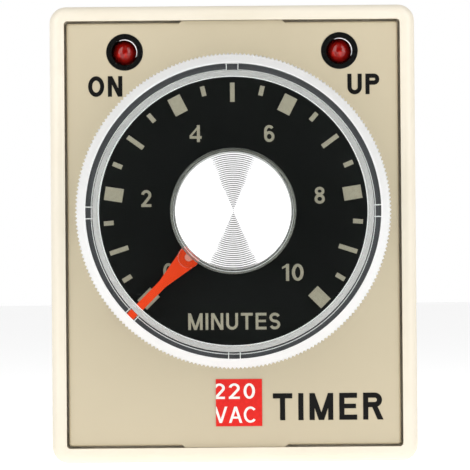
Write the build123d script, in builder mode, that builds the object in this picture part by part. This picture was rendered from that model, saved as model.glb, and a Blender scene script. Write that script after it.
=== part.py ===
from build123d import *

import os
from math import cos, pi, sin, sqrt

# Plug-in analogue timer module: a moulded case with an octal plug behind and a large clear dial in front.
# Millimetres. The origin is the centre of the plug's seating face. +Y points out of the back, along the pins,
# -Y points at the user, +X is the user's right and +Z is up.
# Depths are given as f, the distance in front of the plug's seating face, so Y = -f.

# --- driving dimensions -------------------------------------------------------------------------------
face_width, face_height = 40.0, 50.0
case_depth = 56.0
wall, back_wall = 1.6, 2.0
corner_radius, rim_round, back_round = 1.8, 1.0, 0.8
plug_stand = 4.0  # seating face to the back of the case

panel_gap, panel_recess, panel_thickness = 0.25, 0.5, 2.0
panel_tab_width, panel_tab_slope, panel_tab_gap = 11.0, 0.5, 0.03
dial_z = 2.3  # knob axis above the middle of the face
lamp_x, lamp_z, lamp_radius = 11.77, 19.97, 1.4
collar_radius, collar_bore_radius, collar_flange_radius = 2.0, 1.44, 2.2
dial_disc_radius, dial_disc_thickness = 16.7, 0.25
voltage_label_x, voltage_label_z, voltage_label_width, voltage_label_height = 0.45, -18.5, 5.05, 5.15

knob_radius, knurl_depth, knurl_teeth = 16.95, 0.22, 240
knob_stand, knob_clearance, knob_chamfer = 9.0, 0.8, 1.0  # above the rim, above the panel, front edge
knob_plate, skirt_inner_radius = 1.6, 15.15
hub_radius, hub_wall, shaft_boss_radius = 6.65, 0.55, 4.4
cap_radius, cap_thickness = 6.3, 0.5
notch_width, notch_depth = 1.35, 1.8
pointer_angle = 225.0  # degrees round the dial from +X, anticlockwise as the user sees it
pointer_root, pointer_tip, pointer_neck = 6.9, 16.1, 11.0  # distances from the knob axis
pointer_root_radius, pointer_half_width, pointer_thickness = 1.18, 0.46, 0.6
stake_radius, stake_pin_radius = 1.2, 0.42

shaft_radius, bush_radius, bush_hole_radius = 3.0, 3.5, 3.6
nut_thickness, nut_across_flats, washer_thickness, washer_radius = 1.3, 10.0, 0.3, 5.6
pot_radius, pot_depth = 8.2, 7.0

plug_radius, plug_floor, plug_wall = 15.5, 3.0, 2.0
pin_circle_radius, pin_radius, pin_length, pin_count = 8.725, 1.18, 11.1, 8
pin_waist_radius, pin_seat_depth = 1.0, 0.08  # where the pin passes through the plug's floor
key_post_radius, key_post_length, key_width, key_reach = 3.9, 14.3, 1.9, 4.85
base_plate_thickness, base_plate_margin = 2.5, 0.3
base_screw_z, base_screw_radius, base_screw_head_radius = 19.3, 1.45, 2.6

board_thickness, board_face_x = 1.6, -10.4
board_half_height, board_back_f, board_front_f = 21.0, 8.7, 46.3
front_board_f = 47.6
relay_f, relay_z, relay_length, relay_width, relay_height = 24.8, -14.0, 22.0, 13.0, 25.0

# --- stations along the depth -------------------------------------------------------------------------
case_back_f = plug_stand
case_floor_f = case_back_f + back_wall
rim_f = case_back_f + case_depth
panel_front_f = rim_f - panel_recess
panel_back_f = panel_front_f - panel_thickness
knob_front_f = rim_f + knob_stand
knob_back_f = panel_front_f + knob_clearance
knob_plate_back_f = knob_front_f - knob_plate
pointer_back_f = knob_back_f + 1.0
pointer_front_f = pointer_back_f + pointer_thickness
bush_end_f = panel_front_f + 2.2
pot_back_f = panel_back_f - pot_depth
front_board_face_f = front_board_f + board_thickness
cavity_width, cavity_height = face_width - 2 * wall, face_height - 2 * wall

os.makedirs("parts", exist_ok=True)


def facing_front(f, x=0.0, z=0.0):
    """A plane that faces the user: its x is +X, its y is +Z and it extrudes towards the user."""
    return Plane(origin=(x, -f, z), x_dir=(1, 0, 0), z_dir=(0, -1, 0))


def facing_right(x, f=0.0, z=0.0):
    """A plane that faces +X: its x is +Y, towards the back, and its y is +Z."""
    return Plane(origin=(x, -f, z), x_dir=(0, 1, 0), z_dir=(1, 0, 0))


def profile_plane(z):
    """A level plane for turned profiles: its x is the radius and its y is the depth f."""
    return Plane(origin=(0, 0, z), x_dir=(1, 0, 0), z_dir=(0, 0, -1))


def on_main_board(height, f, z):
    """A plane on the component side of the main board: height is measured from the board's face."""
    return facing_right(board_face_x + height, f, z)


def along_depth(x, z):
    """The axis that runs along the depth through x and z."""
    return Axis((x, 0, z), (0, -1, 0))


def save(piece, name):
    """Labels a finished piece and writes it as its own node."""
    piece.label = name
    export_step(piece, f"parts/{name}.step")


knob_axis = along_depth(0, dial_z)

# --- case ---------------------------------------------------------------------------------------------
window_width, window_low_f, window_high_f = 10.6, 51.4, 54.4
groove_length, groove_width, groove_depth, groove_f = 20.0, 2.4, 0.8, 10.0
seat_size = 4.2
label_length, label_height, label_recess, label_thickness = 40.0, 40.0, 0.15, 0.1
label_f = 29.0

with BuildPart() as case_shell:
    with BuildSketch(facing_front(case_back_f)):
        RectangleRounded(face_width, face_height, corner_radius)
    extrude(amount=case_depth)
    fillet(case_shell.faces().sort_by(Axis.Y)[0].edges(), rim_round)
    fillet(case_shell.faces().sort_by(Axis.Y)[-1].edges(), back_round)
    with BuildSketch(facing_front(case_floor_f)):
        RectangleRounded(cavity_width, cavity_height, 0.4)
    extrude(amount=case_depth, mode=Mode.SUBTRACT)
    # corner seats that carry the front panel
    with BuildSketch(facing_front(panel_back_f - 7.0)):
        with GridLocations(cavity_width - seat_size, cavity_height - seat_size, 2, 2):
            Rectangle(seat_size + 0.2, seat_size + 0.2)
    extrude(amount=7.0)
    # opening for the plug, and the two screw holes
    with BuildSketch(facing_front(case_back_f)):
        Circle(plug_radius + 0.2)
        with Locations((0, base_screw_z), (0, -base_screw_z)):
            Circle(base_screw_radius + 0.2)
    extrude(amount=back_wall, mode=Mode.SUBTRACT)
    # windows for the panel's hooks, through the top and the bottom wall
    with BuildSketch(Plane.XY.offset(-face_height)):
        with Locations((0, -(window_low_f + window_high_f) / 2)):
            Rectangle(window_width, window_high_f - window_low_f)
    extrude(amount=2 * face_height, mode=Mode.SUBTRACT)
    # grooves for a socket's hold-down clips, across the top and the bottom
    for side in (1, -1):
        with BuildSketch(Plane.XY.offset(side * face_height / 2)):
            with Locations((0, -groove_f)):
                Rectangle(groove_length, groove_width)
        extrude(amount=-side * groove_depth, mode=Mode.SUBTRACT)
    # shallow recess for the label on each side
    for side in (-1, 1):
        with BuildSketch(facing_right(side * face_width / 2, label_f)):
            RectangleRounded(label_length + 0.4, label_height + 0.4, 1.0)
        extrude(amount=-side * label_recess, mode=Mode.SUBTRACT)
save(case_shell.part, "case_shell")

for name, side in (("side_label_left", -1), ("side_label_right", 1)):
    with BuildPart() as side_label:
        with BuildSketch(facing_right(side * (face_width / 2 - label_recess), label_f)):
            RectangleRounded(label_length, label_height, 0.8)
        extrude(amount=side * label_thickness)
    save(side_label.part, name)

# --- front panel and dial disc ------------------------------------------------------------------------
hook_leg, hook_width, hook_reach = 1.2, 9.0, 0.95
hook_end_f = window_low_f + 0.2
hook_shoulder_f = window_high_f - 0.15
leg_outer_z = cavity_height / 2 - 0.1

with BuildPart() as front_panel:
    with BuildSketch(facing_front(panel_back_f)):
        RectangleRounded(cavity_width - 2 * panel_gap, cavity_height - 2 * panel_gap, 0.3)
    extrude(amount=panel_thickness)
    fillet(front_panel.faces().sort_by(Axis.Y)[0].edges(), 0.25)
    # a tab with sloping ends at the top and one at the bottom, where the panel meets the rim
    tab_edge_z, panel_edge_z = cavity_height / 2 - panel_tab_gap, cavity_height / 2 - panel_gap
    tab_tip_x, tab_root_x = panel_tab_width / 2, panel_tab_width / 2 + panel_tab_slope
    for side in (1, -1):
        with BuildSketch(facing_front(panel_back_f)):
            with BuildLine():
                Polyline(
                    (-tab_tip_x, side * tab_edge_z),
                    (tab_tip_x, side * tab_edge_z),
                    (tab_root_x, side * (panel_edge_z - 0.3)),
                    (-tab_root_x, side * (panel_edge_z - 0.3)),
                    close=True,
                )
            make_face()
        extrude(amount=panel_thickness)
    with BuildSketch(facing_front(panel_back_f)):
        with Locations((0, dial_z)):
            Circle(bush_hole_radius)
        with Locations((-lamp_x, lamp_z), (lamp_x, lamp_z)):
            Circle(collar_radius + 0.03)
    extrude(amount=panel_thickness, mode=Mode.SUBTRACT)
    # a hooked leg at the top and one at the bottom
    for side in (1, -1):
        with BuildSketch(Plane.YZ):
            with BuildLine():
                Polyline(
                    (-panel_back_f, side * leg_outer_z),
                    (-hook_shoulder_f, side * leg_outer_z),
                    (-hook_shoulder_f, side * (leg_outer_z + hook_reach)),
                    (-hook_end_f, side * (leg_outer_z + 0.1)),
                    (-hook_end_f, side * (leg_outer_z - hook_leg)),
                    (-panel_back_f, side * (leg_outer_z - hook_leg)),
                    close=True,
                )
            make_face()
        extrude(amount=hook_width / 2, both=True)
save(front_panel.part, "front_panel")

with BuildPart() as dial_disc:
    with BuildSketch(facing_front(panel_front_f, z=dial_z)):
        Circle(dial_disc_radius)
        Circle(washer_radius + 0.3, mode=Mode.SUBTRACT)
    extrude(amount=dial_disc_thickness)
save(dial_disc.part, "dial_disc")

with BuildPart() as voltage_label:
    with BuildSketch(facing_front(panel_front_f, voltage_label_x, voltage_label_z)):
        Rectangle(voltage_label_width, voltage_label_height)
    extrude(amount=label_thickness)
save(voltage_label.part, "voltage_label")

# --- knob ---------------------------------------------------------------------------------------------
notch_angles = (0.0, 90.0, 180.0, 270.0, pointer_angle)
shaft_end_f = knob_plate_back_f - 1.2

with BuildPart() as dial_knob:
    with BuildSketch(profile_plane(dial_z)):
        with BuildLine():
            Polyline(
                (0, knob_front_f - cap_thickness),
                (cap_radius + 0.05, knob_front_f - cap_thickness),
                (cap_radius + 0.05, knob_front_f),
                (knob_radius - knob_chamfer, knob_front_f),
                (knob_radius, knob_front_f - knob_chamfer),
                (knob_radius, knob_back_f),
                (skirt_inner_radius, knob_back_f),
                (skirt_inner_radius, knob_plate_back_f),
                (hub_radius, knob_plate_back_f),
                (hub_radius, pointer_front_f + 0.9),
                (hub_radius - hub_wall, pointer_front_f + 0.9),
                (hub_radius - hub_wall, knob_plate_back_f),
                (shaft_boss_radius, knob_plate_back_f),
                (shaft_boss_radius, bush_end_f + 0.5),
                (shaft_radius + 0.02, bush_end_f + 0.5),
                (shaft_radius + 0.02, shaft_end_f + 0.2),
                (0, shaft_end_f + 0.2),
                close=True,
            )
        make_face()
    revolve(axis=knob_axis)
    # the stake that carries the pointer, and its pin
    with BuildSketch(facing_front(pointer_front_f, z=dial_z)):
        with PolarLocations(pointer_root, 1, start_angle=pointer_angle):
            Circle(stake_radius)
    extrude(until=Until.NEXT)
    with BuildSketch(facing_front(pointer_back_f - 0.3, z=dial_z)):
        with PolarLocations(pointer_root, 1, start_angle=pointer_angle):
            Circle(stake_pin_radius)
    extrude(amount=pointer_thickness + 0.4)
    # notches across the skirt's back edge
    with BuildSketch(facing_front(knob_back_f, z=dial_z)):
        for angle in notch_angles:
            with PolarLocations((skirt_inner_radius + knob_radius) / 2 - 0.55, 1, start_angle=angle):
                Rectangle(knob_radius - skirt_inner_radius - 0.1, notch_width)
    extrude(amount=notch_depth, mode=Mode.SUBTRACT)
    # the fine straight knurl: a star-shaped prism that trims the rim
    with BuildSketch(facing_front(knob_back_f - 1.0, z=dial_z)):
        with BuildLine():
            Polyline(
                [
                    (
                        (knob_radius - knurl_depth * (step % 2)) * cos(pi * step / knurl_teeth),
                        (knob_radius - knurl_depth * (step % 2)) * sin(pi * step / knurl_teeth),
                    )
                    for step in range(2 * knurl_teeth)
                ],
                close=True,
            )
        make_face()
    extrude(amount=knob_front_f - knob_back_f + 2.0, mode=Mode.INTERSECT)
save(dial_knob.part, "dial_knob")

with BuildPart() as knob_cap:
    with BuildSketch(facing_front(knob_front_f - cap_thickness, z=dial_z)):
        Circle(cap_radius)
    extrude(amount=cap_thickness)
    chamfer(knob_cap.faces().sort_by(Axis.Y)[0].edges(), 0.12)
save(knob_cap.part, "knob_cap")

with BuildPart() as pointer:
    along_pointer = (cos(pi * pointer_angle / 180), 0, sin(pi * pointer_angle / 180))
    with BuildSketch(Plane(origin=(0, -pointer_back_f, dial_z), x_dir=along_pointer, z_dir=(0, -1, 0))):
        with BuildLine():
            Polyline(
                (pointer_root, pointer_root_radius),
                (pointer_neck, pointer_half_width),
                (pointer_tip, pointer_half_width),
                (pointer_tip, -pointer_half_width),
                (pointer_neck, -pointer_half_width),
                (pointer_root, -pointer_root_radius),
                close=True,
            )
        make_face()
        with Locations((pointer_root, 0)):
            Circle(pointer_root_radius)
            Circle(stake_pin_radius + 0.03, mode=Mode.SUBTRACT)
    extrude(amount=pointer_thickness)
save(pointer.part, "pointer")

# --- potentiometer ------------------------------------------------------------------------------------
can_wall = 0.5
wafer_thickness = 1.2
wiper_f = pot_back_f + wafer_thickness + 0.3

with BuildPart() as pot_can:
    with BuildSketch(facing_front(pot_back_f + wafer_thickness, z=dial_z)):
        Circle(pot_radius)
    extrude(amount=pot_depth - wafer_thickness)
    with BuildSketch(facing_front(pot_back_f + wafer_thickness, z=dial_z)):
        Circle(pot_radius - can_wall)
    extrude(amount=pot_depth - wafer_thickness - can_wall, mode=Mode.SUBTRACT)
    with BuildSketch(facing_front(panel_back_f - can_wall, z=dial_z)):
        Circle(bush_radius)
    extrude(amount=can_wall, mode=Mode.SUBTRACT)
save(pot_can.part, "pot_can")

with BuildPart() as pot_bush:
    with BuildSketch(profile_plane(dial_z)):
        with BuildLine():
            Polyline(
                (shaft_radius + 0.05, panel_back_f - 1.6),
                (bush_radius + 1.5, panel_back_f - 1.6),
                (bush_radius + 1.5, panel_back_f - can_wall),
                (bush_radius, panel_back_f - can_wall),
                (bush_radius, bush_end_f - 0.3),
                (bush_radius - 0.3, bush_end_f),
                (shaft_radius + 0.05, bush_end_f),
                close=True,
            )
        make_face()
    revolve(axis=knob_axis)
save(pot_bush.part, "pot_bush")

with BuildPart() as pot_washer:
    with BuildSketch(facing_front(panel_front_f, z=dial_z)):
        Circle(washer_radius)
        Circle(bush_radius + 0.05, mode=Mode.SUBTRACT)
    extrude(amount=washer_thickness)
save(pot_washer.part, "pot_washer")

with BuildPart() as pot_nut:
    with BuildSketch(facing_front(panel_front_f + washer_thickness, z=dial_z)):
        RegularPolygon(nut_across_flats / sqrt(3), 6)
        Circle(bush_radius + 0.02, mode=Mode.SUBTRACT)
    extrude(amount=nut_thickness)
save(pot_nut.part, "pot_nut")

with BuildPart() as pot_wafer:
    with BuildSketch(facing_front(pot_back_f, z=dial_z)):
        Circle(pot_radius)
        with Locations((0, -pot_radius)):
            Rectangle(12.0, 4.0)
    extrude(amount=wafer_thickness)
save(pot_wafer.part, "pot_wafer")

terminal_pitch, terminal_z = 5.0, dial_z - 9.4
with BuildPart() as pot_terminals:
    with BuildSketch(facing_front(front_board_f - 1.2)):
        with Locations(*[(column * terminal_pitch, terminal_z) for column in (-1, 0, 1)]):
            Rectangle(0.9, 0.5)
    extrude(amount=pot_back_f - front_board_f + 1.2)
save(pot_terminals.part, "pot_terminals")

with BuildPart() as pot_shaft:
    with BuildSketch(profile_plane(dial_z)):
        with BuildLine():
            Polyline(
                (0, wiper_f + 1.2),
                (shaft_radius + 1.6, wiper_f + 1.2),
                (shaft_radius + 1.6, panel_back_f - 1.7),
                (shaft_radius, panel_back_f - 1.7),
                (shaft_radius, shaft_end_f - 0.5),
                (shaft_radius - 0.5, shaft_end_f),
                (0, shaft_end_f),
                close=True,
            )
        make_face()
    revolve(axis=knob_axis)
save(pot_shaft.part, "pot_shaft")

with BuildPart() as pot_wiper:
    with BuildSketch(facing_front(wiper_f, z=dial_z)):
        Circle(4.0)
        with Locations(Rotation(0, 0, pointer_angle)):
            with Locations((3.4, 0)):
                Rectangle(6.4, 2.6)
    extrude(amount=1.2)
save(pot_wiper.part, "pot_wiper")

# --- octal plug ---------------------------------------------------------------------------------------
guide_length, guide_depth, guide_z = 5.0, 5.0, 17.0
pocket_radius = plug_radius - plug_wall
base_front_f = case_floor_f + base_plate_thickness

with BuildPart() as octal_base:
    with BuildSketch(facing_front(case_floor_f)):
        RectangleRounded(cavity_width - 2 * base_plate_margin, cavity_height - 2 * base_plate_margin, 1.0)
    extrude(amount=base_plate_thickness)
    with BuildSketch(facing_front(0)):
        Circle(plug_radius)
    extrude(amount=case_floor_f + 0.5)
    chamfer(octal_base.faces().sort_by(Axis.Y)[-1].edges(), 0.5)
    with BuildSketch(facing_front(plug_floor)):
        Circle(pocket_radius)
    extrude(amount=case_depth, mode=Mode.SUBTRACT)
    # key post with its locating rib, which points down
    with BuildSketch(facing_front(-key_post_length)):
        Circle(key_post_radius)
    extrude(amount=key_post_length + 1.0)
    chamfer(octal_base.faces().sort_by(Axis.Y)[-1].edges(), 0.9)
    with BuildSketch(facing_front(-key_post_length + 2.0)):
        with Locations((0, -key_reach / 2)):
            Rectangle(key_width, key_reach)
    extrude(amount=key_post_length - 1.0)
    with BuildSketch(facing_front(-key_post_length + 2.0)):
        Circle(key_post_radius - 1.5)
    extrude(amount=case_depth, mode=Mode.SUBTRACT)
    # holes for the pins, with a shallow seat for each pin's shoulder
    with BuildSketch(facing_front(-1.0)):
        with PolarLocations(pin_circle_radius, pin_count, start_angle=180.0 / pin_count):
            Circle(pin_waist_radius + 0.02)
    extrude(amount=plug_floor + 2.0, mode=Mode.SUBTRACT)
    with BuildSketch(facing_front(-1.0)):
        with PolarLocations(pin_circle_radius, pin_count, start_angle=180.0 / pin_count):
            Circle(pin_radius + 0.02)
    extrude(amount=pin_seat_depth + 1.0, mode=Mode.SUBTRACT)
    # screw bosses
    with BuildSketch(facing_front(base_front_f)):
        with Locations((0, base_screw_z), (0, -base_screw_z)):
            Circle(3.0)
    extrude(amount=4.5)
    with BuildSketch(facing_front(case_floor_f)):
        with Locations((0, base_screw_z), (0, -base_screw_z)):
            Circle(base_screw_radius + 0.03)
    extrude(amount=base_plate_thickness + 3.5, mode=Mode.SUBTRACT)
    # slotted guides that grip the main board's back edge
    with BuildSketch(facing_front(base_front_f)):
        with Locations(
            (board_face_x - board_thickness / 2, guide_z),
            (board_face_x - board_thickness / 2, -guide_z),
        ):
            Rectangle(board_thickness + 3.0, guide_length)
    extrude(amount=guide_depth)
    with BuildSketch(facing_front(board_back_f - 0.05)):
        with Locations((board_face_x - board_thickness / 2, 0)):
            Rectangle(board_thickness + 0.1, cavity_height)
    extrude(amount=guide_depth + 2.0, mode=Mode.SUBTRACT)
save(octal_base.part, "octal_base")

cup_radius, cup_bore = 1.0, 0.62
for number in range(1, pin_count + 1):
    # pin 1 is just past the key, and the numbers run clockwise as seen from behind
    angle = 270.0 + (number - 0.5) * 360.0 / pin_count
    with BuildPart() as plug_pin:
        with BuildSketch(facing_front(-pin_length)):
            with PolarLocations(pin_circle_radius, 1, start_angle=angle):
                Circle(pin_radius)
        extrude(amount=pin_length + pin_seat_depth)
        fillet(plug_pin.faces().sort_by(Axis.Y)[-1].edges(), 0.9)
        with BuildSketch(facing_front(pin_seat_depth)):
            with PolarLocations(pin_circle_radius, 1, start_angle=angle):
                Circle(pin_waist_radius)
        extrude(amount=plug_floor - pin_seat_depth)
        with BuildSketch(facing_front(plug_floor)):
            with PolarLocations(pin_circle_radius, 1, start_angle=angle):
                Circle(pin_radius + 0.7)
        extrude(amount=0.5)
        with BuildSketch(facing_front(plug_floor + 0.5)):
            with PolarLocations(pin_circle_radius, 1, start_angle=angle):
                Circle(cup_radius)
                Circle(cup_bore, mode=Mode.SUBTRACT)
        extrude(amount=1.6)
    save(plug_pin.part, f"plug_pin_{number}")

for name, z in (("base_screw_upper", base_screw_z), ("base_screw_lower", -base_screw_z)):
    with BuildPart() as base_screw:
        with BuildSketch(facing_front(case_back_f - 1.7, z=z)):
            Circle(base_screw_head_radius)
        extrude(amount=1.7)
        fillet(base_screw.faces().sort_by(Axis.Y)[-1].edges(), 0.8)
        with BuildSketch(facing_front(case_back_f, z=z)):
            Circle(base_screw_radius)
        extrude(amount=7.0)
        chamfer(base_screw.faces().sort_by(Axis.Y)[0].edges(), 0.6)
        with BuildSketch(facing_front(case_back_f - 2.0, z=z)):
            Rectangle(2.8, 0.55)
            Rectangle(0.55, 2.8)
        extrude(amount=1.3, mode=Mode.SUBTRACT)
    save(base_screw.part, name)

# --- relay --------------------------------------------------------------------------------------------
cover_wall, coil_f, pole_height = 0.7, 20.2, 19.6
hinge_f, armature_gap, armature_thickness = 27.8, 0.65, 1.2
yoke_height = pole_height + armature_gap - 0.12
blade_f, contact_height, button_radius = 29.8, 8.6, 1.2
relay_pin_places = [(16.0, -18.0), (16.0, -10.0), (29.0, -14.0), (33.0, -18.0), (33.0, -10.0)]

with BuildPart() as relay_base:
    with BuildSketch(on_main_board(0.4, relay_f, relay_z)):
        Rectangle(relay_length - 2 * cover_wall - 0.2, relay_width - 2 * cover_wall - 0.2)
    extrude(amount=3.4)
save(relay_base.part, "relay_base")

with BuildPart() as relay_cover:
    with BuildSketch(on_main_board(0.2, relay_f, relay_z)):
        RectangleRounded(relay_length, relay_width, 0.8)
    extrude(amount=relay_height)
    fillet(relay_cover.faces().sort_by(Axis.X)[-1].edges(), 0.6)
    with BuildSketch(on_main_board(0.2, relay_f, relay_z)):
        Rectangle(relay_length - 2 * cover_wall, relay_width - 2 * cover_wall)
    extrude(amount=relay_height - cover_wall, mode=Mode.SUBTRACT)
save(relay_cover.part, "relay_cover")

with BuildPart() as relay_pins:
    with BuildSketch(on_main_board(-board_thickness - 1.2, 0, 0)):
        with Locations(*[(-f, z) for f, z in relay_pin_places]):
            Rectangle(0.5, 1.0)
    extrude(amount=board_thickness + 1.2 + 0.4)
save(relay_pins.part, "relay_pins")

with BuildPart() as relay_yoke:
    with BuildSketch(on_main_board(3.8, (coil_f - 3.0 + hinge_f) / 2, relay_z)):
        Rectangle(hinge_f - coil_f + 3.0, 8.0)
    extrude(amount=1.2)
    with BuildSketch(on_main_board(3.8, hinge_f - 0.6, relay_z)):
        Rectangle(1.2, 8.0)
    extrude(amount=yoke_height - 3.8)
    with BuildSketch(on_main_board(3.8, coil_f, relay_z)):
        Circle(2.02)
    extrude(amount=1.2, mode=Mode.SUBTRACT)
save(relay_yoke.part, "relay_yoke")

with BuildPart() as relay_core:
    with BuildSketch(on_main_board(3.8, coil_f, relay_z)):
        Circle(2.0)
    extrude(amount=pole_height - 3.8 - 0.9)
    with BuildSketch(on_main_board(pole_height - 0.9, coil_f, relay_z)):
        Circle(3.4)
    extrude(amount=0.9)
save(relay_core.part, "relay_core")

with BuildPart() as relay_bobbin:
    with BuildSketch(on_main_board(5.0, coil_f, relay_z)):
        Circle(5.5)
    extrude(amount=0.8)
    with BuildSketch(on_main_board(pole_height - 1.75, coil_f, relay_z)):
        Circle(5.5)
    extrude(amount=0.8)
    with BuildSketch(on_main_board(5.0, coil_f, relay_z)):
        Circle(2.7)
    extrude(amount=pole_height - 5.95)
    with BuildSketch(on_main_board(5.0, coil_f, relay_z)):
        Circle(2.03)
    extrude(amount=pole_height - 5.95, mode=Mode.SUBTRACT)
save(relay_bobbin.part, "relay_bobbin")

with BuildPart() as relay_coil:
    with BuildSketch(on_main_board(5.85, coil_f, relay_z)):
        Circle(5.1)
        Circle(2.75, mode=Mode.SUBTRACT)
    extrude(amount=pole_height - 7.65)
save(relay_coil.part, "relay_coil")

armature_height = pole_height + armature_gap
with BuildPart() as relay_armature:
    with BuildSketch(on_main_board(armature_height, (coil_f - 4.0 + blade_f) / 2, relay_z)):
        Rectangle(blade_f - coil_f + 4.0, 7.0)
    extrude(amount=armature_thickness)
    with BuildSketch(on_main_board(14.0, blade_f - 0.4, relay_z)):
        Rectangle(0.8, 7.0)
    extrude(amount=armature_height - 14.0 + armature_thickness)
save(relay_armature.part, "relay_armature")

with BuildPart() as relay_blade:
    with BuildSketch(on_main_board(contact_height - 1.6, blade_f + 0.1, relay_z)):
        Rectangle(0.2, 4.0)
    extrude(amount=armature_height - contact_height)
    with BuildSketch(facing_front(blade_f - 0.5, board_face_x + contact_height, relay_z)):
        Circle(button_radius)
    extrude(amount=1.2)
save(relay_blade.part, "relay_blade")

closed_contact_f = blade_f - 0.52
with BuildPart() as relay_closed_contact:
    with BuildSketch(facing_front(closed_contact_f - 0.4, board_face_x + contact_height, relay_z)):
        Circle(button_radius)
    extrude(amount=0.4)
    with BuildSketch(on_main_board(3.8, closed_contact_f - 0.6, relay_z)):
        Rectangle(0.4, 4.0)
    extrude(amount=contact_height - 2.2)
save(relay_closed_contact.part, "relay_closed_contact")

open_contact_f = blade_f + 0.7 + 0.75
with BuildPart() as relay_open_contact:
    with BuildSketch(facing_front(open_contact_f, board_face_x + contact_height, relay_z)):
        Circle(button_radius)
    extrude(amount=0.4)
    with BuildSketch(on_main_board(3.8, open_contact_f + 0.6, relay_z)):
        Rectangle(0.4, 4.0)
    extrude(amount=contact_height - 2.2)
save(relay_open_contact.part, "relay_open_contact")

# --- boards and their components ----------------------------------------------------------------------
lamp_leads = [(side * lamp_x + lead, lamp_z) for side in (-1, 1) for lead in (-1.27, 1.27)]
header_x = board_face_x + 1.3
header_places = [(header_x, row * 2.54) for row in range(-3, 4)]

with BuildPart() as main_board:
    with BuildSketch(facing_right(board_face_x - board_thickness, (board_back_f + board_front_f) / 2)):
        Rectangle(board_front_f - board_back_f, 2 * board_half_height)
    extrude(amount=board_thickness)
    with BuildSketch(facing_right(board_face_x - board_thickness)):
        with Locations(*[(-f, z) for f, z in relay_pin_places]):
            Circle(0.7)
    extrude(amount=board_thickness, mode=Mode.SUBTRACT)
save(main_board.part, "main_board")

with BuildPart() as front_board:
    with BuildSketch(facing_front(front_board_f)):
        Rectangle(cavity_width - 1.4, cavity_height - 4.0)
        with GridLocations(cavity_width - seat_size, cavity_height - seat_size, 2, 2):
            Rectangle(seat_size + 1.0, seat_size + 1.0, mode=Mode.SUBTRACT)
    extrude(amount=board_thickness)
    with BuildSketch(facing_front(front_board_f)):
        with Locations(*lamp_leads):
            Circle(0.45)
        with Locations(*[(column * terminal_pitch, terminal_z) for column in (-1, 0, 1)]):
            Circle(0.7)
        with Locations(*header_places):
            Circle(0.5)
    extrude(amount=board_thickness, mode=Mode.SUBTRACT)
save(front_board.part, "front_board")

with BuildPart() as board_header:
    with BuildSketch(facing_front(front_board_f - 5.0, header_x)):
        Rectangle(2.5, 17.8)
    extrude(amount=2.5)
    with BuildSketch(facing_front(front_board_f - 2.6)):
        with Locations(*header_places):
            Rectangle(0.6, 0.6)
    extrude(amount=board_thickness + 2.6 + 1.0)
save(board_header.part, "board_header")

with BuildPart() as film_capacitor:
    with BuildSketch(on_main_board(0.1, 26.8, 14.5)):
        RectangleRounded(26.0, 11.0, 0.8)
    extrude(amount=18.0)
    fillet(film_capacitor.faces().sort_by(Axis.X)[-1].edges(), 0.6)
save(film_capacitor.part, "film_capacitor")

with BuildPart() as smoothing_capacitor:
    with BuildSketch(on_main_board(0.1, 17.0, 2.0)):
        Circle(5.0)
    extrude(amount=16.0)
    fillet(smoothing_capacitor.faces().sort_by(Axis.X)[-1].edges(), 0.6)
    with BuildSketch(on_main_board(14.6, 17.0, 2.0)):
        Circle(5.3)
        Circle(4.7, mode=Mode.SUBTRACT)
    extrude(amount=0.5, mode=Mode.SUBTRACT)
save(smoothing_capacitor.part, "smoothing_capacitor")

with BuildPart() as timer_chip:
    with BuildSketch(on_main_board(0.6, 32.4, 1.0)):
        Rectangle(19.3, 6.4)
        with Locations((9.65, 0)):
            Circle(0.8, mode=Mode.SUBTRACT)
    extrude(amount=3.3)
save(timer_chip.part, "timer_chip")

with BuildPart() as chip_legs:
    with BuildSketch(on_main_board(0.02, 32.4, 1.0)):
        with GridLocations(2.54, 7.62, 7, 2):
            Rectangle(0.5, 1.1)
    extrude(amount=2.0)
save(chip_legs.part, "chip_legs")

with BuildPart() as rectifier_diodes:
    with BuildSketch(facing_front(41.0)):
        with Locations(*[(board_face_x + 1.6, z) for z in (10.8, 13.7, 16.6, 19.5)]):
            Circle(1.35)
    extrude(amount=5.0)
save(rectifier_diodes.part, "rectifier_diodes")

with BuildPart() as resistors:
    with BuildSketch(facing_front(38.5)):
        with Locations(*[(board_face_x + 1.5, z) for z in (-19.3, -16.5, -13.7, -10.9)]):
            Circle(1.25)
    extrude(amount=6.5)
    fillet(resistors.edges().filter_by(GeomType.CIRCLE), 0.5)
save(resistors.part, "resistors")

timing_capacitor_x, timing_capacitor_z = 9.0, 14.0
with BuildPart() as timing_capacitor:
    with BuildSketch(facing_front(front_board_f - 7.1, timing_capacitor_x, timing_capacitor_z)):
        RectangleRounded(7.2, 5.0, 0.8)
    extrude(amount=7.0)
    fillet(timing_capacitor.faces().sort_by(Axis.Y)[-1].edges(), 0.6)
save(timing_capacitor.part, "timing_capacitor")

trimmer_x, trimmer_z, trimmer_size = 9.0, -14.0, 6.6
with BuildPart() as trimmer_body:
    with BuildSketch(facing_front(front_board_face_f + 0.05, trimmer_x, trimmer_z)):
        Rectangle(trimmer_size, trimmer_size)
    extrude(amount=3.6)
    with BuildSketch(facing_front(front_board_face_f + 2.05, trimmer_x, trimmer_z)):
        Circle(2.35)
    extrude(amount=2.0, mode=Mode.SUBTRACT)
save(trimmer_body.part, "trimmer_body")

with BuildPart() as trimmer_rotor:
    with BuildSketch(facing_front(front_board_face_f + 2.1, trimmer_x, trimmer_z)):
        Circle(2.3)
    extrude(amount=1.7)
    with BuildSketch(facing_front(front_board_face_f + 2.8, trimmer_x, trimmer_z)):
        Rectangle(3.2, 0.7)
        Rectangle(0.7, 3.2)
    extrude(amount=1.5, mode=Mode.SUBTRACT)
save(trimmer_rotor.part, "trimmer_rotor")

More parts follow.
